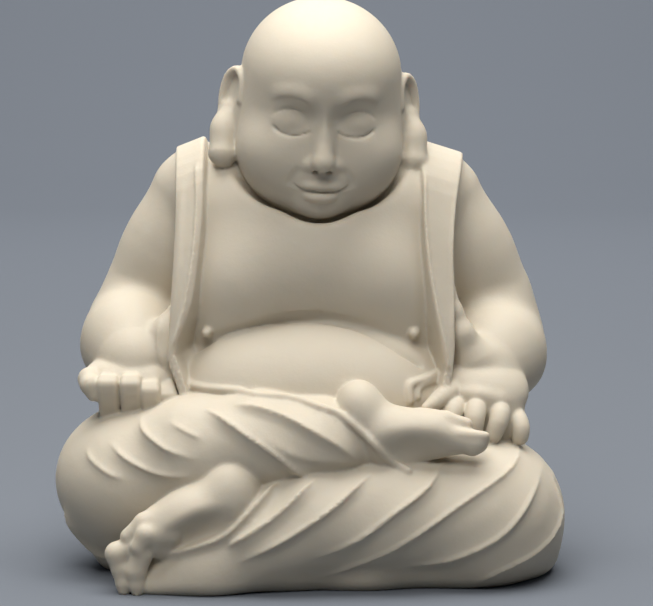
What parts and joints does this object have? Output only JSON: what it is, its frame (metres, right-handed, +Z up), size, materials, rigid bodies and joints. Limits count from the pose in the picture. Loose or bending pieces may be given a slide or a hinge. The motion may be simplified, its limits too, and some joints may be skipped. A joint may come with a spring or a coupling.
{
  "type": "budai figure",
  "caption": "Seated budai statuette: bald, long-eared monk with a bare belly, open sleeveless robe and crossed legs, cast in one piece in matte ivory ceramic",
  "frame": {"origin": "on the flat underside, below the spine, where the figure rests", "axes": "+Z up from the underside to the crown; the figure faces -Y; +X is its own left"},
  "size_m": [0.143, 0.1041, 0.1603],
  "materials": {
    "ivory_bisque": "unglazed fine white casting body, warm ivory, smooth and matte with a faint wax-like translucency"
  },
  "bodies": {
    "root": {"figure": "ivory_bisque"}
  },
  "joints": []
}
